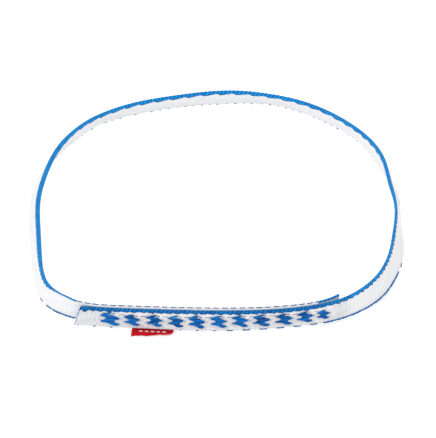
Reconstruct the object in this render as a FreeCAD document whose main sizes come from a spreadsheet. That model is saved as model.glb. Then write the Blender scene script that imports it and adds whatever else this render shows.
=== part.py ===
import FreeCAD
import Part
import math
import os
import Sketcher

V = FreeCAD.Vector

# Flat web sling: one length of narrow woven webbing bent into a closed loop that
# stands on its lower edge.  Its two ends lie over each other in a lap sewn by a row
# of lightning-shaped bar tacks, and a folded woven label hangs out of that seam.
# Frame: x to the right along the lap, y from the lap across the loop, z up; the
# origin is the middle of the loop on the floor.

doc = FreeCAD.newDocument("flat_web_sling")

# ---------------------------------------------------------------- driving dimensions
DIMS = [
    ("loop_steps", 80, "cross-sections once round the loop"),
    ("lap_steps", 15, "cross-sections along the lap"),
    ("lap_shift", 0.8, "how far the lap's start lies before the first station"),
    ("ease_long", 30, "length over which a layer passes from the lap to the loop"),
    ("web_width", 10, "width of the webbing, which is its height standing on edge"),
    ("web_thick", 1.5, "thickness of one layer"),
    ("web_round", 0.3, "bevel of the webbing's long corners"),
    ("layer_gap", 0.4, "space between the two layers of the lap"),
    ("band_high", 1, "depth of the coloured upper selvedge"),
    ("band_proud", 0.12, "how far the selvedge yarns stand out of each face"),
    ("catch_high", 0.4, "depth of the catch thread along the lower selvedge"),
    ("yarn_gap", 0.04, "clearance between the yarn groups of the webbing"),
    ("outer_lift", 1.1, "height of the outer layer over the floor in the lap"),
    ("inner_lift", 2.2, "height of the inner layer over the floor in the lap"),
    ("seal_long", 0.6, "length of a heat-sealed cut end"),
    ("seal_proud", 0.05, "how far a sealed end stands out of each face"),
    ("tack_first", 14.3, "first bar tack's middle from the outer end"),
    ("tack_pitch", 9.15, "spacing of the bar tacks"),
    ("tack_count", 11, "number of bar tacks"),
    ("tack_long", 6.8, "length of a bar tack along the webbing"),
    ("tack_high", 6, "height of a bar tack across the webbing"),
    ("tack_middle", 4.9, "height of a bar tack's middle over the lower edge"),
    ("tack_proud", 0.35, "how far the sewing thread stands out of the face"),
    ("tack_gap", 0.19, "clearance under a tack on the outer, convex face"),
    ("tack_gap_inner", 0.2, "clearance under a tack on the inner, hollow face"),
    ("run_high", 0.3, "height of the thread run that joins two tacks"),
    ("run_proud", 0.2, "how far that thread run stands out of the face"),
    ("label_start", 22.8, "label's left border from the outer end"),
    ("label_wide", 17.6, "width of the label tape"),
    ("label_deep", 4.3, "free depth of the label at its left border"),
    ("label_shallow", 1.8, "free depth of the label at its right border"),
    ("label_thick", 0.3, "thickness of the folded label tape"),
    ("label_sewn", 3.6, "height of the label's part held in the seam"),
    ("label_drop", 0.55, "depth of the label's middle under the lower edge"),
    ("label_clear", 0.2, "distance from the label's hinge line to tape on each side"),
    ("mark_long", 1.5, "length of a woven mark on the label"),
    ("mark_high", 0.5, "height of a woven mark"),
    ("mark_proud", 0.06, "how far a woven mark stands out of the label"),
    ("mark_span", 10.4, "distance from the first woven mark to the last"),
    ("mark_count", 5, "number of woven marks"),
    ("mark_inset", 0.8, "woven marks' lower border from the hinge line"),
]
sheet = doc.addObject("Spreadsheet::Sheet", "dims")
for row, (name, number, note) in enumerate(DIMS, start=1):
    sheet.set("A%d" % row, name)
    sheet.set("B%d" % row, "%g" % number)
    sheet.setAlias("B%d" % row, name)
    sheet.set("C%d" % row, note)
doc.recompute()


def dim(name):
    return float(sheet.get(name))


# ------------------------------------------------------------------- shape of the loop
# Stations of the webbing's lower edge in plan, millimetres, and its lean towards the
# inside of the loop, degrees.  The tight upper selvedge makes the curved stretches
# lean inwards; the doubled, sewn lap stays nearly upright.
LAP = [
    (52.0, -87.0, -4.0),
    (29.0, -94.0, -11.0),
    (-4.5, -97.0, -4.0),
    (-39.5, -94.5, -8.0),
    (-63.0, -89.0, -6.0),
]
ROUND = [
    (-74.0, -74.0, 6.0),
    (-79.5, -52.0, 17.0),
    (-81.5, -25.5, 20.0),
    (-83.0, 0.5, 25.0),
    (-81.5, 25.0, 31.0),
    (-75.5, 49.0, 27.0),
    (-65.0, 70.0, 24.0),
    (-53.0, 86.0, 33.0),
    (-37.5, 95.0, 31.0),
    (-19.5, 101.5, 32.0),
    (1.5, 105.0, 29.0),
    (23.0, 104.5, 37.0),
    (45.0, 91.5, 29.0),
    (64.0, 68.5, 21.0),
    (74.5, 40.5, 10.0),
    (80.0, 16.5, 25.0),
    (80.0, -6.0, 12.0),
    (81.0, -27.5, 28.0),
    (77.0, -50.0, 22.0),
    (68.0, -71.5, 14.0),
]
# moves the loop's middle to the origin
MIDDLE = V(0.95, -3.32, 0.0723)


def base_edges(plan):
    """Closed curves of the lower and upper edge, sharing one running length."""
    low = []
    high = []
    for i, (x, y, lean) in enumerate(plan):
        before = plan[i - 1]
        after = plan[(i + 1) % len(plan)]
        run = V(after[0] - before[0], after[1] - before[1], 0)
        run.normalize()
        out = V(-run.y, run.x, 0)
        tilt = math.radians(lean)
        foot = V(x, y, 0) + MIDDLE
        across = V(0, 0, math.cos(tilt)) - out * math.sin(tilt)
        low.append(foot)
        high.append(foot + across * dim("web_width"))
    marks = [0.0]
    for first, second in zip(low, low[1:] + low[:1]):
        marks.append(marks[-1] + (second - first).Length)
    curves = []
    for points in (low, high):
        curve = Part.BSplineCurve()
        curve.interpolate(Points=points, Parameters=marks, PeriodicFlag=True)
        curves.append(curve)
    return curves[0], curves[1], marks[-1]


low_edge, high_edge, ROUND_LONG = base_edges(LAP + ROUND)
STEP = ROUND_LONG / dim("loop_steps")
LAP_LONG = STEP * dim("lap_steps")
PATH_LONG = ROUND_LONG + LAP_LONG
LAYER = dim("web_thick") + dim("layer_gap")
FACE = 0.5 * dim("web_thick")


def ease(x):
    """Smooth passage from 0 to 1."""
    x = min(max(x, 0.0), 1.0)
    return x * x * (3 - 2 * x)


def frame_at(mark):
    """Webbing at a running length from its inner end: foot, out, across, along."""
    turn = (mark - dim("lap_shift")) % ROUND_LONG
    foot = low_edge.value(turn)
    along = V(*low_edge.tangent(turn)[0])
    level = V(-along.y, along.x, 0)
    across = high_edge.value(turn) - foot
    across = across - along * across.dot(along)
    across.normalize()
    # the inner layer runs one layer further in and higher, then eases out to the loop
    leave = 1 - ease((mark - LAP_LONG) / dim("ease_long"))
    arrive = ease((mark - ROUND_LONG + dim("ease_long")) / dim("ease_long"))
    lift = leave * dim("inner_lift") + arrive * dim("outer_lift")
    lift += FACE * abs(across.dot(level))
    foot = foot - level * (leave * LAYER) + V(0, 0, lift)
    return foot, across.cross(along), across, along


def placed(origin, x_axis, y_axis, z_axis):
    return FreeCAD.Placement(FreeCAD.Matrix(
        x_axis.x, y_axis.x, z_axis.x, origin.x,
        x_axis.y, y_axis.y, z_axis.y, origin.y,
        x_axis.z, y_axis.z, z_axis.z, origin.z,
        0, 0, 0, 1))


# ---------------------------------------------------------------- webbing yarn groups
NODES = {}


def webbing_strip(label, profile, first, last, steps):
    """Closed solid that carries a profile (out, across) along the webbing."""
    marks = [first + (last - first) * i / steps for i in range(steps + 1)]
    frames = [frame_at(mark) for mark in marks]
    rails = []
    for out_size, across_size in profile:
        points = []
        for foot, out, across, along in frames:
            points.append(foot + out * out_size + across * across_size)
        curve = Part.BSplineCurve()
        curve.interpolate(Points=points, Parameters=marks)
        rails.append(curve.toShape())
    faces = []
    for rail, after in zip(rails, rails[1:] + rails[:1]):
        faces.append(Part.makeRuledSurface(rail, after))
    for end in (0, -1):
        corners = [rail.Vertexes[end].Point for rail in rails]
        faces.append(Part.Face(Part.makePolygon(corners + corners[:1])))
    shell = Part.makeShell(faces)
    shell.sewShape()
    solid = Part.makeSolid(shell)
    if solid.Volume < 0:
        solid.reverse()
    strip = doc.addObject("Part::Feature", label)
    strip.Label = label
    strip.Shape = solid
    strip.Placement = FreeCAD.Placement()
    NODES[label] = strip
    return strip


STEPS = int(dim("loop_steps") + dim("lap_steps"))
bevel = dim("web_round")
gap = dim("yarn_gap")
catch = dim("catch_high")
head_y = dim("web_width") - dim("band_high") - gap
webbing_strip("webbing", [
    (-FACE, 0.5 * bevel), (-FACE, head_y), (FACE, head_y), (FACE, catch + 2 * gap),
    (FACE - catch - 2 * gap, 0), (0.5 * bevel - FACE, 0)], 0, PATH_LONG, STEPS)

band = FACE + dim("band_proud")
band_y = dim("web_width") - dim("band_high")
top_y = dim("web_width")
webbing_strip("upper_selvedge", [
    (-band, band_y), (-band, top_y - bevel), (bevel - band, top_y),
    (band - bevel, top_y), (band, top_y - bevel), (band, band_y)], 0, PATH_LONG, STEPS)

# the catch thread fills the bevelled lower corner of the outer face
webbing_strip("lower_catch_thread", [
    (FACE - catch, 0), (FACE, catch), (FACE + gap, catch), (FACE + gap, 0)],
    0, PATH_LONG, STEPS)


# -------------------------------------------------------- sketched and padded features
def new_body(label):
    body = doc.addObject("PartDesign::Body", label)
    body.Label = label
    NODES[label] = body
    return body


def new_sketch(body, name, place):
    plane = [f for f in body.Origin.OriginFeatures if f.Role == "XY_Plane"][0]
    sketch = body.newObject("Sketcher::SketchObject", name)
    sketch.AttachmentSupport = (plane, "")
    sketch.MapMode = "FlatFace"
    sketch.AttachmentOffset = place
    return sketch


def formula_value(formula):
    """Number given by a formula of the sheet's aliases."""
    sheet.set("F1", "=" + formula.replace("dims.", ""))
    sheet.recompute()
    return float(sheet.get("F1"))


VALUES = {}


def add_outline(sketch, corners):
    """Closed outline whose corners are pairs of formulas, each held by the sheet."""
    points = []
    for pair in corners:
        for formula in pair:
            if formula not in VALUES:
                VALUES[formula] = formula_value(formula)
        points.append(V(VALUES[pair[0]], VALUES[pair[1]], 0))
    start = sketch.GeometryCount
    count = len(points)
    for i in range(count):
        sketch.addGeometry(Part.LineSegment(points[i], points[(i + 1) % count]), False)
    for i in range(count):
        joined = Sketcher.Constraint(
            "Coincident", start + i, 2, start + (i + 1) % count, 1)
        sketch.addConstraint(joined)
    for i, pair in enumerate(corners):
        for kind, formula in zip(("DistanceX", "DistanceY"), pair):
            held = Sketcher.Constraint(kind, -1, 1, start + i, 1, VALUES[formula])
            index = sketch.addConstraint(held)
            sketch.setExpression("Constraints[%d]" % index, formula)


def rectangle(left, bottom, right, top):
    return [(left, bottom), (right, bottom), (right, top), (left, top)]


def add_pad(body, name, sketch, length):
    pad = body.newObject("PartDesign::Pad", name)
    pad.Profile = sketch
    pad.setExpression("Length", length)
    body.Tip = pad
    return pad


# heat-sealed cut ends of the webbing
for label, mark, way in (("inner_end_seal", 0.0, -1), ("outer_end_seal", PATH_LONG, 1)):
    foot, out, across, along = frame_at(mark)
    origin = foot + along * (way * dim("yarn_gap"))
    body = new_body(label)
    section = new_sketch(body, label + "_section", placed(
        origin, out * way, across, along * way))
    half = "0.5 * dims.web_thick + dims.seal_proud"
    add_outline(section, rectangle(
        "-(%s)" % half, "dims.seal_proud", half, "dims.web_width"))
    add_pad(body, label + "_pad", section, "dims.seal_long")

# one lightning-shaped bar tack, as shares of its length and height
TACK = [
    (-0.50, 0.38),
    (-0.12, 0.50),
    (0.22, 0.24),
    (0.50, 0.02),
    (0.20, -0.12),
    (0.48, -0.42),
    (0.06, -0.50),
    (-0.18, -0.30),
    (-0.50, -0.16),
    (-0.20, 0.08),
]
TACK_OUTLINE = [("dims.tack_long * %g" % x, "dims.tack_high * %g" % y) for x, y in TACK]
RUN_OUTLINE = rectangle(
    "dims.tack_long * -0.12 - dims.tack_pitch + dims.tack_long * 0.2",
    "dims.tack_high * 0.42 - dims.run_high",
    "dims.tack_long * -0.2",
    "dims.tack_high * 0.42")


def bar_tack(label, mark, way, joined):
    """Block of sewing thread on a face: way 1 is the outer face, -1 the inner one."""
    foot, out, across, along = frame_at(mark)
    gap = dim("tack_gap") if way > 0 else dim("tack_gap_inner")
    origin = foot + across * dim("tack_middle") + out * (way * (FACE + gap))
    body = new_body(label)
    place = placed(origin, along * -way, across, out * way)
    block = new_sketch(body, label + "_block", place)
    add_outline(block, TACK_OUTLINE)
    add_pad(body, label + "_pad", block, "dims.tack_proud")
    if joined:
        run = new_sketch(body, label + "_run", place)
        add_outline(run, RUN_OUTLINE)
        add_pad(body, label + "_run_pad", run, "dims.run_proud")


for i in range(int(dim("tack_count"))):
    along_lap = dim("tack_first") + i * dim("tack_pitch")
    number = i + 1
    bar_tack("tack_outer_%02d" % number, PATH_LONG - along_lap, 1, i > 0)
    bar_tack("tack_inner_%02d" % number, LAP_LONG - along_lap, -1, False)

# --------------------------------------------------------------------- the sewn label
# the fixed part runs down between the two layers and out under the outer one
label_first = PATH_LONG - dim("label_start") - dim("label_wide")
label_last = PATH_LONG - dim("label_start")
hinge_out = FACE + 0.5 * dim("label_clear")
ply = 0.5 * dim("label_thick")
seam = FACE + 0.5 * dim("layer_gap")
reach = hinge_out - dim("label_clear")
webbing_strip("label_root", [
    (-seam - ply, -dim("label_drop") - ply), (-seam - ply, dim("label_sewn")),
    (-seam + ply, dim("label_sewn")), (-seam + ply, -dim("label_drop") + ply),
    (reach, -dim("label_drop") + ply), (reach, -dim("label_drop") - ply)],
    label_first, label_last, 4)

foot, out, across, along = frame_at(0.5 * (label_first + label_last))
hinge = foot + out * hinge_out - across * dim("label_drop")
flap = new_body("label_flap")
flap_outline = new_sketch(flap, "label_flap_outline", placed(
    hinge - across * ply, along, out, across))
add_outline(flap_outline, [
    ("-0.5 * dims.label_wide", "dims.label_clear"),
    ("0.5 * dims.label_wide", "dims.label_clear"),
    ("0.5 * dims.label_wide", "dims.label_deep"),
    ("-0.5 * dims.label_wide", "dims.label_shallow")])
flap_pad = add_pad(flap, "label_flap_pad", flap_outline, "dims.label_thick")

marks_body = new_body("label_marks")
marks_body.AllowCompound = True
mark_sketch = new_sketch(marks_body, "label_mark_outline", placed(
    hinge + across * (ply + 0.01), along, out, across))
add_outline(mark_sketch, rectangle(
    "0.5 * dims.mark_span - 0.5 * dims.mark_long", "dims.mark_inset",
    "0.5 * dims.mark_span + 0.5 * dims.mark_long", "dims.mark_inset + dims.mark_high"))
mark_pad = add_pad(marks_body, "label_mark_pad", mark_sketch, "dims.mark_proud")
mark_row = marks_body.newObject("PartDesign::LinearPattern", "label_mark_row")
mark_row.Originals = [mark_pad]
mark_row.Direction = (mark_sketch, ["H_Axis"])
mark_row.Reversed = True
mark_row.setExpression("Length", "dims.mark_span")
mark_row.setExpression("Occurrences", "dims.mark_count")
marks_body.Tip = mark_row

# ------------------------------------------------------------------ recompute and save
doc.recompute()
for item in doc.Objects:
    if "Invalid" in item.State or "Error" in item.State:
        raise RuntimeError("%s is %s" % (item.Name, item.State))
os.makedirs("parts", exist_ok=True)
whole = FreeCAD.BoundBox()
for label, item in NODES.items():
    shape = item.Shape
    if shape.isNull() or not shape.isValid():
        raise RuntimeError("%s has a bad shape" % label)
    whole.add(shape.BoundBox)
    shape.exportStep("parts/%s.step" % label)
print("nodes", len(NODES), "bounds", whole)
print("hinge", hinge, "axis", along, "lengths", ROUND_LONG, PATH_LONG)
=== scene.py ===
import math

import bpy
import numpy as np
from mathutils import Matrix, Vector


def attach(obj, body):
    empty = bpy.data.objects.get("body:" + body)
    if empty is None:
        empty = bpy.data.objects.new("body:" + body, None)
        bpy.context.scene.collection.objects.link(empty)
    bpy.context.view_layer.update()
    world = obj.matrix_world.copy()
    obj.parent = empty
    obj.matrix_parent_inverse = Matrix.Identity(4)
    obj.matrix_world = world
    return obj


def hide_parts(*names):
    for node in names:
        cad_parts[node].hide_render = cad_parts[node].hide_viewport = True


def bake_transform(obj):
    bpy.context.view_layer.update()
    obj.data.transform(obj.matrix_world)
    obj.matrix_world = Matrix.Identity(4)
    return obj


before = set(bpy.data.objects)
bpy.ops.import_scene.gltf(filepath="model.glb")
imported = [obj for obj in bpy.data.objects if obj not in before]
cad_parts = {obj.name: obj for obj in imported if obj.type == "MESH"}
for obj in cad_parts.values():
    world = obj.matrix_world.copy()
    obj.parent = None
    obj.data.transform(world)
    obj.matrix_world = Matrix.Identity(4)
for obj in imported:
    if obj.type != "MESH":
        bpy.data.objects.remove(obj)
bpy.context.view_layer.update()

MM = 0.001
rng = np.random.default_rng(11)

# ------------------------------------------------------------------ loop of the webbing
# Stations of the lower edge in plan and the lean towards the inside, as in the CAD
# model, in millimetres and degrees.
LAP = [
    (52.0, -87.0, -4.0),
    (29.0, -94.0, -11.0),
    (-4.5, -97.0, -4.0),
    (-39.5, -94.5, -8.0),
    (-63.0, -89.0, -6.0),
]
ROUND = [
    (-74.0, -74.0, 6.0),
    (-79.5, -52.0, 17.0),
    (-81.5, -25.5, 20.0),
    (-83.0, 0.5, 25.0),
    (-81.5, 25.0, 31.0),
    (-75.5, 49.0, 27.0),
    (-65.0, 70.0, 24.0),
    (-53.0, 86.0, 33.0),
    (-37.5, 95.0, 31.0),
    (-19.5, 101.5, 32.0),
    (1.5, 105.0, 29.0),
    (23.0, 104.5, 37.0),
    (45.0, 91.5, 29.0),
    (64.0, 68.5, 21.0),
    (74.5, 40.5, 10.0),
    (80.0, 16.5, 25.0),
    (80.0, -6.0, 12.0),
    (81.0, -27.5, 28.0),
    (77.0, -50.0, 22.0),
    (68.0, -71.5, 14.0),
]
MIDDLE = np.array([0.95, -3.32, 0.0723])
LAP_SHIFT = 0.8
WIDTH = 10.0
THICK = 1.5
FACE = 0.5 * THICK
LAYER = THICK + 0.4
EASE_LONG = 30.0
OUTER_LIFT = 1.1
INNER_LIFT = 2.2
LOOP_STEPS = 80
LAP_STEPS = 15
UP = np.array([0.0, 0.0, 1.0])


class Periodic:
    """Closed cubic curve through points at given running lengths."""

    def __init__(self, points, marks):
        self.points = points
        self.marks = marks
        count = len(points)
        steps = np.diff(marks)
        system = np.zeros((count, count))
        slopes = np.zeros_like(points)
        for i in range(count):
            before = steps[i - 1]
            after = steps[i]
            system[i, i - 1] += before / 6
            system[i, i] += (before + after) / 3
            system[i, (i + 1) % count] += after / 6
            slopes[i] = (points[(i + 1) % count] - points[i]) / after
            slopes[i] -= (points[i] - points[i - 1]) / before
        self.bends = np.linalg.solve(system, slopes)

    def at(self, turn):
        """Points and tangents at running lengths."""
        count = len(self.points)
        i = np.clip(np.searchsorted(self.marks, turn, side="right") - 1, 0, count - 1)
        after = (i + 1) % count
        step = (self.marks[i + 1] - self.marks[i])[:, None]
        a = (self.marks[i + 1] - turn)[:, None] / step
        b = 1 - a
        here, there = self.bends[i], self.bends[after]
        points = a * self.points[i] + b * self.points[after]
        points += ((a ** 3 - a) * here + (b ** 3 - b) * there) * step ** 2 / 6
        tangents = (self.points[after] - self.points[i]) / step
        tangents += ((1 - 3 * a ** 2) * here + (3 * b ** 2 - 1) * there) * step / 6
        return points, tangents


def base_edges(plan):
    """Curves through the lower and the upper edge, and the length round the loop."""
    low = []
    high = []
    for i, (x, y, lean) in enumerate(plan):
        before = plan[i - 1]
        after = plan[(i + 1) % len(plan)]
        run = np.array([after[0] - before[0], after[1] - before[1]])
        run = run / np.linalg.norm(run)
        out = np.array([-run[1], run[0], 0.0])
        tilt = math.radians(lean)
        foot = np.array([x, y, 0.0]) + MIDDLE
        low.append(foot)
        high.append(foot + (UP * math.cos(tilt) - out * math.sin(tilt)) * WIDTH)
    low = np.array(low)
    high = np.array(high)
    chords = np.linalg.norm(np.roll(low, -1, axis=0) - low, axis=1)
    marks = np.concatenate([[0.0], np.cumsum(chords)])
    return Periodic(low, marks), Periodic(high, marks), marks[-1]


LOW, HIGH, ROUND_LONG = base_edges(LAP + ROUND)
LAP_LONG = ROUND_LONG / LOOP_STEPS * LAP_STEPS
PATH_LONG = ROUND_LONG + LAP_LONG


def ease(x):
    """Smooth step from 0 to 1."""
    x = np.clip(x, 0.0, 1.0)
    return x * x * (3 - 2 * x)


def unit(vectors):
    """Vectors of length one in the same directions."""
    return vectors / np.linalg.norm(vectors, axis=-1, keepdims=True)


FLARE_LONG = 10.0
FLARE_OUT = 1.1
TAIL_LONG = 15.0
TAIL_IN = 1.5
TAIL_UP = -0.3


def frames(mark):
    """Foot, out, across and along at running lengths from the inner end."""
    turn = np.mod(mark - LAP_SHIFT, ROUND_LONG)
    foot, tangent = LOW.at(turn)
    high, _ = HIGH.at(turn)
    along = unit(tangent)
    level = np.stack([-along[:, 1], along[:, 0], np.zeros(len(mark))], axis=1)
    across = high - foot
    across = unit(across - along * np.sum(across * along, axis=1, keepdims=True))
    leave = 1 - ease((mark - LAP_LONG) / EASE_LONG)
    arrive = ease((mark - ROUND_LONG + EASE_LONG) / EASE_LONG)
    lift = leave * INNER_LIFT + arrive * OUTER_LIFT
    lift = lift + FACE * np.abs(np.sum(across * level, axis=1))
    out = np.cross(across, along)
    foot = foot - level * (leave * LAYER)[:, None] + UP * lift[:, None]
    # both cut ends stand a little away from the layer they lie on
    flare = np.clip((mark - PATH_LONG + FLARE_LONG) / FLARE_LONG, 0, 1) ** 2
    tail = np.clip((TAIL_LONG - mark) / TAIL_LONG, 0, 1) ** 2
    foot = foot + out * (flare * FLARE_OUT - tail * TAIL_IN)[:, None]
    foot = foot + UP * (tail * TAIL_UP)[:, None]
    return foot, out, across, along


def top_fullness(foot, height):
    """The upper edge is fluffed up along the left side and drawn thin on the right."""
    x, y = foot[:, 0], foot[:, 1]
    left = ease((-66 - x) / 8) * ease((y + 62) / 16)
    right = ease((x - 62) / 10) * ease((12 - y) / 24) * ease((y + 78) / 14)
    return 1 + (0.20 * left - 0.24 * right) * ease((height - 5.0) / 4.0)


def place(mark, height, proud):
    """Points at running length, height across the webbing and distance out of it."""
    mark, height, proud = np.broadcast_arrays(mark, height, proud)
    foot, out, across, _ = frames(mark.ravel())
    proud = proud.ravel() * top_fullness(foot, height.ravel())
    points = foot + across * height.reshape(-1, 1) + out * proud[:, None]
    return (points * MM).reshape(mark.shape + (3,))


GRID = np.linspace(0, PATH_LONG, 3000)


def upper_edge_run():
    """Length along the upper edge: the picks of the weave keep their spacing there."""
    foot, _, across, _ = frames(GRID)
    steps = np.linalg.norm(np.diff(foot + across * WIDTH, axis=0), axis=1)
    return np.concatenate([[0.0], np.cumsum(steps)])


UPPER_RUN = upper_edge_run()


def weave_run(mark):
    """Place in the weave at a running length along the lower edge."""
    return np.interp(mark, GRID, UPPER_RUN)


# ------------------------------------------------------------------------ mesh helpers
def finish_mesh(name, points, faces, uvs, tone):
    """Smooth piece with its run in millimetres and its yarn tone."""
    mesh = bpy.data.meshes.new(name)
    mesh.from_pydata(points.tolist(), [], faces)
    layer = mesh.uv_layers.new(name="run")
    layer.data.foreach_set("uv", np.asarray(uvs, dtype=np.float32).ravel())
    layer = mesh.attributes.new("tone", "FLOAT", "POINT")
    layer.data.foreach_set("value", np.asarray(tone, dtype=np.float32).ravel())
    mesh.polygons.foreach_set("use_smooth", [True] * len(mesh.polygons))
    mesh.update()
    mesh.validate()
    piece = bpy.data.objects.new(name, mesh)
    bpy.context.scene.collection.objects.link(piece)
    return piece


def tube_faces(rows, ring, start=0):
    """Quads and end caps of a closed ring swept along rows."""
    i = np.arange(rows - 1)[:, None]
    j = np.arange(ring)[None, :]
    after = (j + 1) % ring
    quads = np.stack([
        i * ring + j, (i + 1) * ring + j, (i + 1) * ring + after, i * ring + after], axis=-1)
    quads = (quads + start).reshape(-1, 4)
    first = list(range(start, start + ring))
    last = list(range(start + (rows - 1) * ring, start + rows * ring))[::-1]
    return quads.tolist() + [first, last]


def tube_uvs(along, around):
    """Loop coordinates for tube_faces, in millimetres."""
    rows = len(along)
    ring = len(around) - 1
    i = np.arange(rows - 1)[:, None]
    j = np.arange(ring)[None, :]
    u = np.stack([along[i] + 0 * j, along[i + 1] + 0 * j, along[i + 1] + 0 * j,
                  along[i] + 0 * j], axis=-1)
    v = np.stack([around[j] + 0 * i, around[j] + 0 * i, around[j + 1] + 0 * i,
                  around[j + 1] + 0 * i], axis=-1)
    quads = np.stack([u, v], axis=-1).reshape(-1, 2)
    first = np.stack([np.full(ring, along[0]), around[:-1]], axis=-1)
    last = np.stack([np.full(ring, along[-1]), around[:-1][::-1]], axis=-1)
    return np.concatenate([quads, first, last])


class Yarns:
    """Gathers many round yarns into one mesh."""

    def __init__(self, sides=10):
        self.sides = sides
        self.points = []
        self.faces = []
        self.uvs = []
        self.tone = []
        self.count = 0

    def add(self, line, radius, tone=0.5, twist=0.0, plies=3, depth=0.0):
        """One yarn along a line of points in metres, with a twisted ply surface."""
        line = np.asarray(line)
        rows = len(line)
        radius = np.broadcast_to(np.asarray(radius, dtype=float), (rows,)) * MM
        along = unit(np.gradient(line, axis=0))
        side = unit(np.cross(along, UP + 0.01))
        for i in range(1, rows):
            turned = side[i - 1] - along[i] * np.dot(side[i - 1], along[i])
            side[i] = turned / np.linalg.norm(turned)
        other = np.cross(along, side)
        steps = np.linalg.norm(np.diff(line, axis=0), axis=1)
        runs = np.concatenate([[0], np.cumsum(steps)]) / MM
        angle = np.linspace(0, 2 * math.pi, self.sides + 1)
        turn = angle[None, :-1] + 0 * runs[:, None]
        ply = 1 + depth * (np.abs(np.cos(0.5 * plies * (turn - twist * runs[:, None]))) - 0.6)
        reach = radius[:, None] * ply
        ring = line[:, None] + side[:, None] * (np.cos(turn) * reach)[..., None]
        ring = ring + other[:, None] * (np.sin(turn) * reach)[..., None]
        self.points.append(ring.reshape(-1, 3))
        self.faces += tube_faces(rows, self.sides, self.count)
        self.uvs.append(tube_uvs(runs, angle * float(np.mean(radius)) / MM))
        self.tone.append(np.full(rows * self.sides, tone))
        self.count += rows * self.sides

    def piece(self, name):
        """The gathered yarns as one piece."""
        return finish_mesh(name, np.concatenate(self.points), self.faces,
                           np.concatenate(self.uvs), np.concatenate(self.tone))


# --------------------------------------------------------------------------- bar tacks
TACK_FIRST = 14.3
TACK_PITCH = 9.15
TACK_COUNT = 11
TACK_MIDDLE = 4.9
# corners of the zigzag that the sewing thread lies in, from its top, millimetres to the
# right and up as seen from the outer face
ZIGZAG = np.array([
    (0.3, 2.7),
    (-3.2, 1.5),
    (3.4, 0.2),
    (-3.3, -1.1),
    (3.0, -2.6),
])
# every thread of a tack from needle hole to needle hole, in the same plane
THREADS = [
    (-3.5, 1.45, 0.3, 2.35),
    (-3.0, 1.90, 0.6, 2.70),
    (-2.1, 2.35, 0.5, 2.95),
    (-3.0, 1.20, 1.5, 1.75),
    (-2.4, 1.00, 2.4, 1.10),
    (-1.9, 0.80, 3.1, 0.60),
    (-1.6, 0.45, 3.6, 0.22),
    (-1.4, 0.12, 3.0, -0.12),
    (2.3, -0.25, -2.2, -0.45),
    (1.9, -0.55, -3.3, -0.95),
    (1.7, -0.85, -3.5, -1.20),
    (1.6, -1.15, -2.8, -1.42),
    (-1.9, -1.40, 2.6, -1.90),
    (-1.3, -1.70, 3.1, -2.25),
    (-0.7, -2.00, 3.3, -2.62),
    (0.1, -2.35, 2.4, -2.95),
]
TACK_SIZE = [1.16, 0.98, 0.98, 0.96, 1.04, 1.0, 1.02, 1.04, 1.05, 1.0, 0.80]
# hand-guided sewing: no block sits quite on its place, millimetres right and up
TACK_NUDGE = [
    (-0.4, -0.1), (-0.5, -0.4), (-0.3, -0.3), (-0.2, -0.15), (-0.35, -0.25), (-0.1, 0.0),
    (-0.1, 0.1), (-0.35, 0.1), (0.1, -0.1), (-0.15, 0.1), (-1.2, -0.2)]


def tack_mark(layer, i):
    """Running length of a bar tack's middle on the outer or the inner layer."""
    end = PATH_LONG if layer > 0 else LAP_LONG
    return end - TACK_FIRST - i * TACK_PITCH


def segment_distance(x, y, first, second):
    """Distance from points to a straight piece of thread."""
    run = second - first
    share = ((x - first[0]) * run[0] + (y - first[1]) * run[1]) / np.dot(run, run)
    share = np.clip(share, 0, 1)
    return np.hypot(x - first[0] - share * run[0], y - first[1] - share * run[1])


PRESS = 0.22
PUFF = 0.42
TACK_REACH = 8
FAR_AWAY = 9.0


def stitch_relief(mark, height, layer):
    """How the sewing pulls a face in under its thread and puffs it up between."""
    near = np.full(np.broadcast(mark, height).shape, FAR_AWAY)
    for i in range(TACK_COUNT):
        x = (tack_mark(layer, i) - mark - TACK_NUDGE[i][0]) / TACK_SIZE[i]
        y = (height - TACK_MIDDLE - TACK_NUDGE[i][1]) / TACK_SIZE[i]
        close = np.abs(x) < TACK_REACH
        if not np.any(close):
            continue
        for first, second in zip(ZIGZAG, ZIGZAG[1:]):
            distance = segment_distance(x, y, first, second)
            near = np.where(close, np.minimum(near, distance), near)
    puff = PUFF * (1 - np.exp(-(near / 1.5) ** 2)) - PRESS
    start = tack_mark(layer, TACK_COUNT - 1) - 6.0
    stop = tack_mark(layer, 0) + 6.5
    inside = ease((mark - start) / 5.0) * ease((stop - mark) / 5.0)
    edge = ease((height - 0.3) / 1.6) * ease((9.3 - height) / 1.2)
    return puff * inside * edge


# ------------------------------------------------------------------------- the webbing
# length from the outer end along which the lap gets painted shade, on the white face and on the
# blue selvedge
LAP_SHADE_LONG = 122.0
SIDE_POINTS = 20
PERIOD = 7.35
CELL = PERIOD / 4
RIB = 0.12
RIB_RISE = 3.2
ROW_STEP = CELL / 5
BODY = FACE - 0.04
EDGE_HALF = 0.68
EDGE_HEIGHT = WIDTH - 0.78


def half_thick(height):
    """Half the webbing's thickness over its width: both selvedges are thinner."""
    upper = (BODY - EDGE_HALF) * ease((height - 8.2) / (EDGE_HEIGHT - 8.2))
    lower = (BODY - EDGE_HALF) * ease((1.3 - height) / 1.1)
    return BODY - upper - lower


def cut_slant(mark, height):
    """The outer end is cut on a slant, its lower corner the longest."""
    near_end = np.clip((mark - PATH_LONG + 9.0) / 9.0, 0, 1)
    return mark + near_end * (0.95 - 0.32 * height)


def thin_top(mark):
    """1 where the sewing has pulled the inner layer's selvedge over to the inside."""
    return ease((LAP_LONG + 24.0 - mark) / 12.0)


TOP_DROP = 0.5
TOP_PULL = 0.25


def settle(mark, height, proud):
    """The sewing draws the inner layer's top edge down and against the outer layer."""
    pull = thin_top(mark) * ease((LAP_LONG + 8.0 - mark) / 8.0) * ease((height - 7.0) / 2.5)
    return height - TOP_DROP * pull, proud + TOP_PULL * pull


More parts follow.
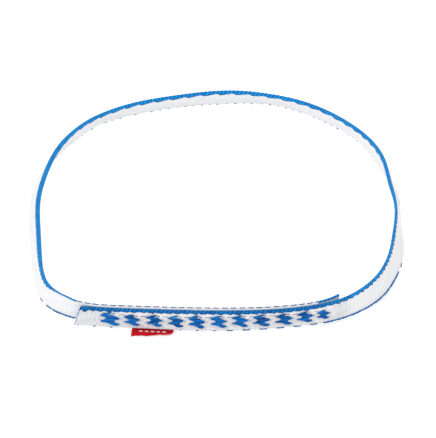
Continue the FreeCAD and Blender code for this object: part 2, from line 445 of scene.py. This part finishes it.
def rib(run, height, face):
    """Diagonal ribs of the weave with a little unevenness."""
    wander = 0.35 * np.sin(0.9 * height + 0.83 * run) + 0.30 * np.sin(0.371 * run + 2.0 * height)
    phase = run / CELL + face * height / RIB_RISE + 0.5 * wander
    return RIB * (np.abs(np.cos(math.pi * phase)) - 0.64)


def build_webbing():
    """White body: both faces and both edges as one closed tube along the path."""
    rows = int(PATH_LONG / ROW_STEP)
    mark = np.linspace(0, PATH_LONG, rows)
    side = np.linspace(0.42, 9.45, SIDE_POINTS)
    # ring: up the outer face, over the top, down the inner face, under the bottom
    height = np.concatenate([side, [9.66, 9.74, 9.66], side[::-1], [0.10, 0.0, 0.10]])
    full = np.ones(SIDE_POINTS)
    share = np.concatenate([full, [0.6, 0.0, -0.6], -full, [-0.55, 0.0, 0.55]])
    face = np.sign(share)[None, :]
    flat = (np.abs(share) > 0.9)[None, :]
    m = mark[:, None] + 0 * height[None, :]
    run = weave_run(mark)[:, None]
    h = height[None, :] + 0 * m
    ribs = rib(run, h, face) * flat
    relief = ribs + 0.05 * np.sin(0.31 * run + 1.3 * h) * np.sin(0.087 * run) * flat
    outer = stitch_relief(m, h, 1) * (m > ROUND_LONG - 20) * (share > 0.9)[None, :]
    inner = stitch_relief(m, h, -1) * (m < LAP_LONG + 20) * (share < -0.9)[None, :]
    relief = relief + outer + inner
    proud = share[None, :] * half_thick(h) + face * relief
    edge_wave = 0.08 * np.sin(2 * math.pi * run / CELL) * (h < 0.2)
    h, proud = settle(m, h, proud)
    points = place(cut_slant(m, h), h + np.abs(edge_wave), proud)
    around = np.concatenate([[0.0], np.cumsum(np.hypot(np.diff(height), np.diff(share * FACE)))])
    around = np.append(around, around[-1] + 0.7)
    # painted shade: the outer face is darker along the lap
    sewn = ease((m - PATH_LONG + LAP_SHADE_LONG) / 10) * (share > 0)[None, :]
    # painted shade: the white is darker in the hollows of the ribs and the stitching and lighter
    # on their crests
    tone = np.clip(0.5 + ribs * 0.9 + relief * 1.3 - 0.30 * sewn, 0, 1)
    return finish_mesh(
        "webbing_weave", points.reshape(-1, 3), tube_faces(rows, len(height)),
        tube_uvs(mark, around), tone)


# ------------------------------------------------------------------ the upper selvedge
BAND_PROUD = 0.09
CELL_PROUD = 0.27
INNER_TIP = 0.14
OUTER_TIP = 0.40


def outer_depth(run):
    """Blue yarns on the outer face: two teeth in every weave period."""
    half = np.mod(2 * (run / PERIOD - OUTER_TIP), 1.0)
    whole = np.mod(run / PERIOD - OUTER_TIP, 1.0)
    tooth = np.where(half < 0.78, 1 - half / 0.78, (half - 0.78) / 0.22)
    return 0.16 + tooth * (0.58 + 0.16 * (whole < 0.5))


def inner_depth(run):
    """Blue yarns on the inner face: one long tooth in every weave period."""
    share = np.mod(run / PERIOD - INNER_TIP, 1.0)
    tooth = np.where(share < 0.76, 1 - share / 0.76, (share - 0.76) / 0.24)
    return 0.10 + 1.25 * tooth


def build_band():
    """Blue yarns wrapped over the upper selvedge onto both faces."""
    step = CELL / 7
    rows = int(PATH_LONG / step)
    mark = np.linspace(0, PATH_LONG, rows)
    run = weave_run(mark)
    thin = thin_top(mark)
    dash = np.cos(2 * math.pi * run / (0.5 * PERIOD) + 0.6)
    droop = 0.9 * np.exp(-((mark - PATH_LONG + 2.2) / 1.1) ** 2)
    tilt = 0.5 * math.pi * EDGE_HALF
    # beyond the sewing the pulled edge is a thin unbroken line
    broken = (mark > tack_mark(-1, TACK_COUNT - 1) + 3) & (mark < LAP_LONG + 1)
    whole_start = np.where(mark < 25.0, -0.8, -0.3)
    inner_start = np.where(broken, 0.05 + 0.60 * (dash < -0.25), whole_start)
    start = -(tilt + outer_depth(run) + droop) * (1 - thin) + thin * inner_start
    stop = tilt + inner_depth(run)
    ring = 18
    share = np.linspace(0, 1, ring)
    arc = start[:, None] + (stop - start)[:, None] * share[None, :]
    within = np.mod((run[:, None] + 0.95 * arc) / CELL, 1.0)
    bump = np.sqrt(np.clip(1 - (2 * within - 1) ** 2, 0, 1))
    skin = ease(share * 6) * ease((1 - share) * 6)
    arc = arc - 0.14 * (bump[:, :1] - 0.5) * (1 - share[None, :])
    arc = arc + 0.14 * (bump[:, -1:] - 0.5) * share[None, :]
    reach = BAND_PROUD * skin[None, :] + CELL_PROUD * (bump - 0.45) * skin[None, :]
    # the yarns turn round the thin top edge and lie on both faces
    angle = np.clip(arc / EDGE_HALF, -0.5 * math.pi, 0.5 * math.pi)
    down = np.clip(np.abs(arc) - tilt, 0, None)
    height = EDGE_HEIGHT + np.cos(angle) * (EDGE_HALF + reach) - down
    proud = -np.sin(angle) * EDGE_HALF
    on_face = down > 0
    proud = np.where(on_face, -np.sign(arc) * half_thick(EDGE_HEIGHT - down), proud)
    proud = proud - np.sin(angle) * (reach + 0.02)
    under_share = np.array([0.8, 0.5, 0.2])[None, :]
    under_proud = 0.6 * (proud[:, -1:] * under_share + proud[:, :1] * (1 - under_share))
    under_height = np.minimum(height[:, :1], height[:, -1:]) - 0.1 + 0 * under_proud
    under_height = np.clip(under_height, 8.6, EDGE_HEIGHT - 0.1)
    proud = np.concatenate([proud, under_proud], axis=1)
    height = np.concatenate([height, under_height], axis=1)
    m = mark[:, None] + 0 * proud
    height, proud = settle(m, height, proud)
    points = place(cut_slant(m, height), height, proud)
    # painted shade: each blue yarn cell is darker towards the grooves beside it and lighter on
    # its crown
    tone = np.concatenate([bump, 0 * under_proud], axis=1)
    cell = np.floor((run[:, None] + 0.95 * arc) / CELL).astype(int) + 8
    shade = rng.normal(0, 0.10, size=cell.max() + 2)
    # painted light: the top of the edge, turned up to the light, is lighter than the yarns that
    # lie on the faces
    top = ease((tilt + 0.25 - np.abs(arc)) / 0.5)
    tone[:, :ring] = tone[:, :ring] ** 2.0 * (0.88 + shade[cell]) * (0.66 + 0.34 * top)
    tone[:, :ring] += 0.16 * top * (1 - 0.5 * thin[:, None])
    # painted shade: the selvedge yarns are darker along the lap
    tone[:, :ring] *= 1 - 0.38 * ease((mark - PATH_LONG + LAP_SHADE_LONG) / 20)[:, None]
    tone[:, :ring] *= 1 - 0.55 * (thin * broken)[:, None]
    around = np.linspace(0, 4.5, proud.shape[1] + 1)
    return finish_mesh(
        "selvedge_yarns", points.reshape(-1, 3), tube_faces(rows, proud.shape[1]),
        tube_uvs(mark, around), np.clip(tone, 0, 1))


# -------------------------------------------------------------------- the catch thread
# how far back it shows along the left and the right side, and the length from the
# outer end where it is thin
CATCH_LEFT_END = -62.0
CATCH_RIGHT_END = -32.0
CATCH_THIN = 66


def build_catch():
    """Thread that locks the lower selvedge: a line outside, single picks inside."""
    yarns = Yarns(sides=8)
    step = CELL / 6
    # outer corner: comes up onto the face for a bit over half of each period, and
    # sinks into the weave where the webbing leans back
    mark = np.arange(0.2, PATH_LONG - 0.4, step)
    run = weave_run(mark)
    foot, _, _, _ = frames(mark)
    reach = np.where(foot[:, 0] < 0, CATCH_LEFT_END, CATCH_RIGHT_END)
    shown = ease((reach - foot[:, 1]) / 16) * (mark > LAP_LONG)
    # thick on the two front bends, thinning out where it sinks in
    quiet = ease((mark - PATH_LONG + CATCH_THIN) / 10)
    strong = ease((np.abs(foot[:, 0] + 6.0) - 47.0) / 9.0) * (1 - quiet)
    strong = strong * ease((reach - 12 - foot[:, 1]) / 12)
    share = np.mod(run / PERIOD + 0.3, 1.0)
    last = 0.60 - 0.32 * quiet + 0.34 * strong
    up = ease((share - 0.02) / 0.12) * ease((last - share) / 0.12)
    # the thread stays inside where the label folds up against the webbing
    over = mark - PATH_LONG + LABEL_START
    free = 1 - ease((over + LABEL_WIDE + 3.5) / 2.0) * ease((3.5 - over) / 2.0)
    up = np.maximum(up, 0.85 * strong) * shown * free
    knot = np.abs(np.sin(math.pi * run / CELL))
    height = 0.62 - 0.34 * up + 0.10 * knot * up
    proud = 0.30 + (half_thick(height) - 0.20) * up + 0.06 * knot * up
    bulk = 0.13 + (0.06 + 0.06 * strong) * up + (0.06 + 0.12 * strong) * knot * up
    yarns.add(place(mark, height, proud), bulk, tone=0.75)
    # inner face: single small picks, every other one longer
    first = (0.5 + INNER_TIP) * PERIOD
    pick = 0
    while first < UPPER_RUN[-1] - 2:
        middle = np.interp(first, UPPER_RUN, GRID)
        long = (1.5 if pick % 2 else 1.0) * (0.7 + 0.6 * rng.random())
        seen = rng.random() > (0.08 if pick % 2 else 0.3)
        at_side = ease((abs(frames(np.array([middle]))[0][0, 0]) - 54.0) / 8.0)
        if seen:
            line = middle + np.linspace(-0.5, 0.5, 7) * long
            arch = np.sin(np.linspace(0.0, math.pi, 7))
            surface = half_thick(np.array([0.34]))[0]
            yarns.add(place(line, 0.34 + 0.05 * arch, -(surface - 0.20 + 0.24 * arch)),
                      (0.14 + 0.08 * arch) * (1 - 0.5 * at_side),
                      tone=0.1 + 0.2 * rng.random())
        first += 0.5 * PERIOD + 0.3 * rng.normal()
        pick += 1
    return yarns.piece("catch_yarns")


# ------------------------------------------------------------------- sewn thread blocks
THREAD = 0.285


def strand(yarns, layer, i, first, second, lift, tone, bow=0.0, radius=THREAD):
    """One thread of a tack between two needle holes, given in the zigzag's plane."""
    share = np.linspace(0, 1, 13)
    x = first[0] + (second[0] - first[0]) * share + TACK_NUDGE[i][0]
    y = first[1] + (second[1] - first[1]) * share + bow * np.sin(math.pi * share)
    y = y + TACK_NUDGE[i][1]
    mark = tack_mark(layer, i) - x
    height = TACK_MIDDLE + y
    face = stitch_relief(mark, height, layer)
    dive = (np.sin(math.pi * share) ** 0.35)
    proud = half_thick(height) + face + (lift + radius + 0.10) * dive - 0.20
    yarns.add(place(mark, height, layer * proud), radius * (0.72 + 0.28 * dive),
              tone=tone, twist=5.0, depth=0.30)


def build_tack(layer, i):
    """One bar tack's thread as it shows on the outer or the inner layer."""
    yarns = Yarns(sides=10)
    size = TACK_SIZE[i]
    shake = rng.normal(0, 0.05, size=2)
    for k, (x0, y0, x1, y1) in enumerate(THREADS):
        first = (np.array([x0, y0]) + shake + rng.normal(0, 0.10, size=2)) * size
        second = (np.array([x1, y1]) + shake + rng.normal(0, 0.10, size=2)) * size
        lift = 0.02 + 0.06 * (k % 3 == 1) + 0.05 * rng.random()
        tone = 0.10 + 0.70 * rng.random()
        strand(yarns, layer, i, first, second, lift, tone, 0.05 * rng.normal())
    if i + 1 < TACK_COUNT:
        # the thread runs on to the next tack, in and out of the webbing
        start = np.array([0.3, 2.75]) * size
        middle = start + np.array([2.3, -0.25 + 0.1 * rng.normal()])
        ahead = np.array([TACK_PITCH - 2.6, 2.3])
        strand(yarns, layer, i, start, middle, 0.0, 0.1, radius=0.15)
        strand(yarns, layer, i, middle + np.array([0.5, 0.0]), ahead, -0.02, 0.08, radius=0.12)
    hole = np.array([4.0, 0.05]) * size + rng.normal(0, 0.1, size=2)
    strand(yarns, layer, i, hole, hole + np.array([0.5, 0.2]), -0.03, 0.0, radius=0.13)
    side = "outer" if layer > 0 else "inner"
    return yarns.piece("tack_%s_%02d_thread" % (side, i + 1))


# ------------------------------------------------------------------- sealed cut ends
def build_seal(name, mark, way):
    """Melted edge of a cut end: a thin uneven bead down the whole width."""
    rows = 40
    ring = 12
    height = np.linspace(0.02, WIDTH - 0.05, rows)
    angle = np.linspace(0, 2 * math.pi, ring, endpoint=False)
    bead = 0.22 + 0.05 * np.sin(3.1 * height) + 0.04 * np.sin(7.7 * height + 1)
    bead = bead * ease(np.minimum(height, WIDTH - height) * 3 + 0.35)
    bead = bead + 0.05 + 0.22 * np.exp(-(height / 0.6) ** 2)
    half = (FACE + 0.03) * (0.86 + 0.06 * np.sin(2.3 * height))
    m = mark + way * 0.1 + way * bead[:, None] * np.cos(angle)[None, :]
    proud = half[:, None] * np.sin(angle)[None, :]
    h = height[:, None] + 0 * m
    h, proud = settle(m, h, proud)
    points = place(cut_slant(m, h), h, proud)
    tone = 0.5 + 0.5 * np.sin(1.9 * height)[:, None] + 0 * m
    return finish_mesh(name, points.reshape(-1, 3), tube_faces(rows, ring),
                       tube_uvs(height, np.linspace(0, 4, ring + 1)), tone)


# -------------------------------------------------------------------------- the label
LABEL_START = 22.8
LABEL_WIDE = 17.6
LABEL_DEEP = 4.3
LABEL_SHALLOW = 1.9
LABEL_SEWN = 3.4
LABEL_DROP = 0.55
LABEL_HINGE = FACE + 0.1
PLY = 0.15
DASH_COUNT = 5
DASH_PITCH = 2.45
DASH_HALF = 0.72
DASH_ROWS = 3
DASH_POINTS = 9


def label_line(share):
    """Depth of the free fold at a place along the label, from its right border."""
    straight = LABEL_SHALLOW + (LABEL_DEEP - LABEL_SHALLOW) * share
    corner = 1.4 * np.clip(1 - share / 0.1, 0, 1) ** 2
    wavy = 0.22 * np.sin(13 * share) + 0.12 * np.sin(31 * share + 1)
    return straight - corner + wavy * ease(share * 4)


def label_surface(share, run, ply):
    """Point of the folded tape: run 0 at the sewn top, 1 at the free fold."""
    mark = PATH_LONG - LABEL_START - LABEL_WIDE * (1 - share)
    free = label_line(share)
    seam = FACE + 0.2
    inside = LABEL_SEWN + LABEL_DROP
    below = seam + LABEL_HINGE
    long = inside + below + free
    at = run * long
    # the tape comes down between the layers, turns out and lies nearly flat
    bend = 0.35
    down = np.clip(at, 0, inside)
    out = np.clip(at - inside, 0, None)
    turn = np.clip((at - inside + bend) / (2 * bend), 0, 1) * math.pi / 2
    height = LABEL_SEWN - down
    proud = out - seam
    height = height + ply * np.sin(turn)
    proud = proud + ply * np.cos(turn)
    past = np.clip(out - below, 0, None)
    droop = 0.012 * past ** 2 * (0.4 + 0.6 * share)
    ripple = 0.10 * np.sin(9.0 * share + 0.5) * np.clip(past / 4, 0, 1)
    height = height - np.minimum(droop, 0.12) + ripple + 0.05 * past * (1 - share)
    return mark, height, proud


def build_label():
    """Red tape folded double, from its sewn top to its free fold and back."""
    across = 89
    down = 56
    share = np.linspace(0, 1, across)[None, :]
    run = np.linspace(0, 1, down)
    # the tape goes down to the fold and up again, with a hair of space between the plies
    run_ring = np.concatenate([run, run[::-1], run, run[::-1]])
    thick = PLY * (1 - np.exp(-(1 - run) / 0.012))
    gap = 0.1 * thick
    ply_ring = np.concatenate([thick, -thick[::-1], -gap, gap[::-1]])
    r = run_ring[:, None] + 0 * share
    s = share + 0 * r
    satin = 0.012 * np.cos(2 * math.pi * s * LABEL_WIDE / 0.55)
    ply = ply_ring[:, None] + satin * np.sign(ply_ring)[:, None]
    mark, height, proud = label_surface(s, r, ply)
    points = place(mark.T, height.T, proud.T)
    rows, ring = points.shape[:2]
    return finish_mesh("label_tape", points.reshape(-1, 3), tube_faces(rows, ring),
                       tube_uvs(np.linspace(0, LABEL_WIDE, rows), np.linspace(0, 44, ring + 1)),
                       np.full(rows * ring, 0.5))


def build_marks():
    """Generic woven dashes in place of any lettering."""
    yarns = Yarns(sides=8)
    for k in range(DASH_COUNT):
        centre = 0.5 + (k - DASH_COUNT // 2) * DASH_PITCH / LABEL_WIDE
        for row in range(DASH_ROWS):
            share = centre + np.linspace(-DASH_HALF, DASH_HALF, DASH_POINTS) / LABEL_WIDE
            free = label_line(share)
            long = LABEL_SEWN + LABEL_DROP + FACE + 0.2 + LABEL_HINGE + free
            at = (long - free + 0.55 + 0.22 * row) / long
            arch = np.sin(np.linspace(0.12, math.pi - 0.12, DASH_POINTS))
            mark, height, proud = label_surface(share, at, PLY * 0.8 + 0.06 * arch)
            yarns.add(place(mark, height, proud), 0.13, tone=0.8)
    return yarns.piece("label_dashes")


# --------------------------------------------------------------------------- materials
def material(name):
    """New material with its node tree and its main shader."""
    made = bpy.data.materials.new(name)
    made.use_nodes = True
    return made, made.node_tree, made.node_tree.nodes["Principled BSDF"]


def node(tree, kind, **values):
    """New shader node with its sockets or settings filled in."""
    made = tree.nodes.new(kind)
    for key, value in values.items():
        if key in made.inputs:
            made.inputs[key].default_value = value
        else:
            setattr(made, key, value)
    return made


def fabric(name, stops, yarn_scale, yarn_angle, rough, sheen, bump, fine=2.5, mottle=0.35):
    """Yarn colour from the weave's own relief, with fibre streaks and soft mottling."""
    made, tree, shader = material(name)
    tone = node(tree, "ShaderNodeAttribute", attribute_name="tone")
    run = node(tree, "ShaderNodeUVMap", uv_map="run")
    turned = node(tree, "ShaderNodeMapping", Rotation=(0, 0, yarn_angle))
    tree.links.new(run.outputs["UV"], turned.inputs["Vector"])
    fibres = node(tree, "ShaderNodeTexWave", Scale=yarn_scale, Distortion=1.6, Detail=2.0)
    fibres.inputs["Detail Scale"].default_value = 1.4
    tree.links.new(turned.outputs["Vector"], fibres.inputs["Vector"])
    cloud = node(tree, "ShaderNodeTexNoise", Scale=fine, Detail=4.0, Roughness=0.62)
    tree.links.new(run.outputs["UV"], cloud.inputs["Vector"])
    mixed = node(tree, "ShaderNodeMath", operation="MULTIPLY_ADD")
    tree.links.new(cloud.outputs["Fac"], mixed.inputs[0])
    mixed.inputs[1].default_value = mottle
    tree.links.new(tone.outputs["Fac"], mixed.inputs[2])
    streaked = node(tree, "ShaderNodeMath", operation="MULTIPLY_ADD")
    tree.links.new(fibres.outputs["Fac"], streaked.inputs[0])
    streaked.inputs[1].default_value = 0.5 * mottle
    tree.links.new(mixed.outputs[0], streaked.inputs[2])
    shift = node(tree, "ShaderNodeMath", operation="SUBTRACT")
    tree.links.new(streaked.outputs[0], shift.inputs[0])
    shift.inputs[1].default_value = 0.75 * mottle
    ramp = node(tree, "ShaderNodeValToRGB")
    ramp.color_ramp.elements[0].position = stops[0][0]
    ramp.color_ramp.elements[0].color = stops[0][1] + (1,)
    ramp.color_ramp.elements[1].position = stops[-1][0]
    ramp.color_ramp.elements[1].color = stops[-1][1] + (1,)
    for position, colour in stops[1:-1]:
        ramp.color_ramp.elements.new(position).color = colour + (1,)
    tree.links.new(shift.outputs[0], ramp.inputs["Fac"])
    tree.links.new(ramp.outputs["Color"], shader.inputs["Base Color"])
    relief = node(tree, "ShaderNodeBump", Strength=bump, Distance=0.0001)
    tree.links.new(fibres.outputs["Fac"], relief.inputs["Height"])
    tree.links.new(relief.outputs["Normal"], shader.inputs["Normal"])
    shader.inputs["Roughness"].default_value = rough
    shader.inputs["Sheen Weight"].default_value = sheen
    shader.inputs["Sheen Roughness"].default_value = 0.45
    shader.inputs["Specular IOR Level"].default_value = 0.12
    return made


def use(piece, made, slot, body, *nodes):
    """Gives a piece its material, body and the solids it stands for; slot is not used."""
    piece.data.materials.append(made)
    if body:
        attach(piece, body)
    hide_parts(*nodes)


WHITE = fabric("webbing_fibre", [
    (0.0, (0.58, 0.585, 0.61)), (0.45, (0.80, 0.80, 0.812)), (1.0, (0.90, 0.90, 0.91))],
    1.1, 0.5, 0.80, 0.05, 0.5, fine=0.9, mottle=0.35)
BLUE = fabric("selvedge_fibre", [
    (0.0, (0.000, 0.024, 0.11)), (0.45, (0.000, 0.125, 0.42)), (1.0, (0.010, 0.33, 0.78))],
    1.6, 0.9, 0.55, 0.0, 0.5, fine=1.4, mottle=0.30)
CATCH = fabric("catch_fibre", [
    (0.0, (0.03, 0.09, 0.14)), (0.5, (0.005, 0.11, 0.30)), (1.0, (0.003, 0.17, 0.48))],
    1.6, 0.9, 0.6, 0.0, 0.4, fine=1.4, mottle=0.30)
THREAD_BLUE = fabric("thread_fibre", [
    (0.0, (0.000, 0.022, 0.11)), (0.4, (0.000, 0.120, 0.44)), (1.0, (0.012, 0.25, 0.70))],
    2.2, 0.9, 0.50, 0.0, 0.5, fine=0.7, mottle=0.30)
RED = fabric("label_weave", [
    (0.0, (0.32, 0.000, 0.004)), (0.5, (0.68, 0.003, 0.012)), (1.0, (0.80, 0.012, 0.02))],
    2.9, 0.0, 0.55, 0.0, 0.5, fine=0.8, mottle=0.45)
MARK = fabric("label_mark_weave", [
    (0.0, (0.60, 0.45, 0.46)), (1.0, (0.92, 0.86, 0.86))],
    2.9, 0.0, 0.5, 0.1, 0.4, fine=1.0, mottle=0.3)
SEAL = fabric("melted_fibre", [
    (0.0, (0.00, 0.08, 0.28)), (0.6, (0.01, 0.18, 0.50)), (1.0, (0.06, 0.32, 0.66))],
    0.7, 0.3, 0.35, 0.0, 0.25, fine=1.2, mottle=0.5)

# ------------------------------------------------------------------------ the pieces
webbing = build_webbing()
use(webbing, WHITE, "webbing_white", "sling", "webbing")
band_piece = build_band()
use(band_piece, BLUE, "selvedge_blue", "sling", "upper_selvedge")
catch_piece = build_catch()
use(catch_piece, CATCH, "selvedge_blue", "sling", "lower_catch_thread")
for i in range(TACK_COUNT):
    for layer, side in ((1, "outer"), (-1, "inner")):
        tack = build_tack(layer, i)
        use(tack, THREAD_BLUE, "thread_blue", "sling", "tack_%s_%02d" % (side, i + 1))
use(build_seal("inner_end_melt", 0.0, -1), SEAL, "sealed_end", "sling", "inner_end_seal")
use(build_seal("outer_end_melt", PATH_LONG, 1), SEAL, "sealed_end", "sling",
    "outer_end_seal")

label = build_label()
use(label, RED, "label_red", None, "label_root", "label_flap")
label_mark = np.array([PATH_LONG - LABEL_START - 0.5 * LABEL_WIDE])
bend_start = place(label_mark, np.array([-LABEL_DROP]), np.array([LABEL_HINGE - 0.45]))[0]
bend_end = place(label_mark, np.array([-LABEL_DROP]), np.array([LABEL_HINGE + 0.45]))[0]
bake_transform(label)
use(build_marks(), MARK, "label_white", "label", "label_marks")


# ------------------------------------------------------------- floor, light and camera
FLOOR_HALF = 3.0
FLOOR_LEVEL = -2e-4
WORLD_STRENGTH = 1.03


def floor():
    """White table under the sling."""
    corners = [(x * FLOOR_HALF, y * FLOOR_HALF, FLOOR_LEVEL)
               for x, y in ((-1, -1), (1, -1), (1, 1), (-1, 1))]
    mesh = bpy.data.meshes.new("floor")
    mesh.from_pydata(corners, [], [(0, 1, 2, 3)])
    piece = bpy.data.objects.new("floor", mesh)
    bpy.context.scene.collection.objects.link(piece)
    made, _, shader = material("floor_paper")
    shader.inputs["Base Color"].default_value = (0.97, 0.97, 0.97, 1)
    # a lit table, so that the floor stays white right up to the webbing
    shader.inputs["Emission Color"].default_value = (1, 1, 1, 1)
    shader.inputs["Emission Strength"].default_value = 0.25
    shader.inputs["Roughness"].default_value = 0.9
    shader.inputs["Specular IOR Level"].default_value = 0.1
    mesh.materials.append(made)


def area_light(name, where, aim, size, power):
    """Square lamp of a given size in metres and power in watts."""
    data = bpy.data.lights.new(name, "AREA")
    data.size = size
    data.energy = power
    lamp = bpy.data.objects.new(name, data)
    bpy.context.scene.collection.objects.link(lamp)
    lamp.location = where
    turn_to(lamp, aim)


def turn_to(thing, aim):
    """Points a lamp or the camera at a place."""
    way = Vector(aim) - Vector(thing.location)
    thing.rotation_euler = way.to_track_quat("-Z", "Y").to_euler()


floor()
world = bpy.data.worlds.new("studio")
bpy.context.scene.world = world
world.use_nodes = True
world.node_tree.nodes["Background"].inputs["Color"].default_value = (1, 1, 1, 1)
world.node_tree.nodes["Background"].inputs["Strength"].default_value = WORLD_STRENGTH
area_light("key_left", where=(-1.5, -0.35, 1.1), aim=(0, 0, 0), size=1.4, power=4.2)

AIM = (0.00095, -0.00332, 0.0)
DISTANCE = 2.5
ELEVATION = math.radians(30.0)
camera_data = bpy.data.cameras.new("camera")
camera_data.sensor_width = 36.0
camera_data.lens = 466.4
camera_data.clip_end = 50.0
camera = bpy.data.objects.new("camera", camera_data)
bpy.context.scene.collection.objects.link(camera)
camera.location = (AIM[0], AIM[1] - DISTANCE * math.cos(ELEVATION),
                   AIM[2] + DISTANCE * math.sin(ELEVATION))
turn_to(camera, AIM)
bpy.context.scene.camera = camera
bpy.context.scene.view_settings.view_transform = "Standard"
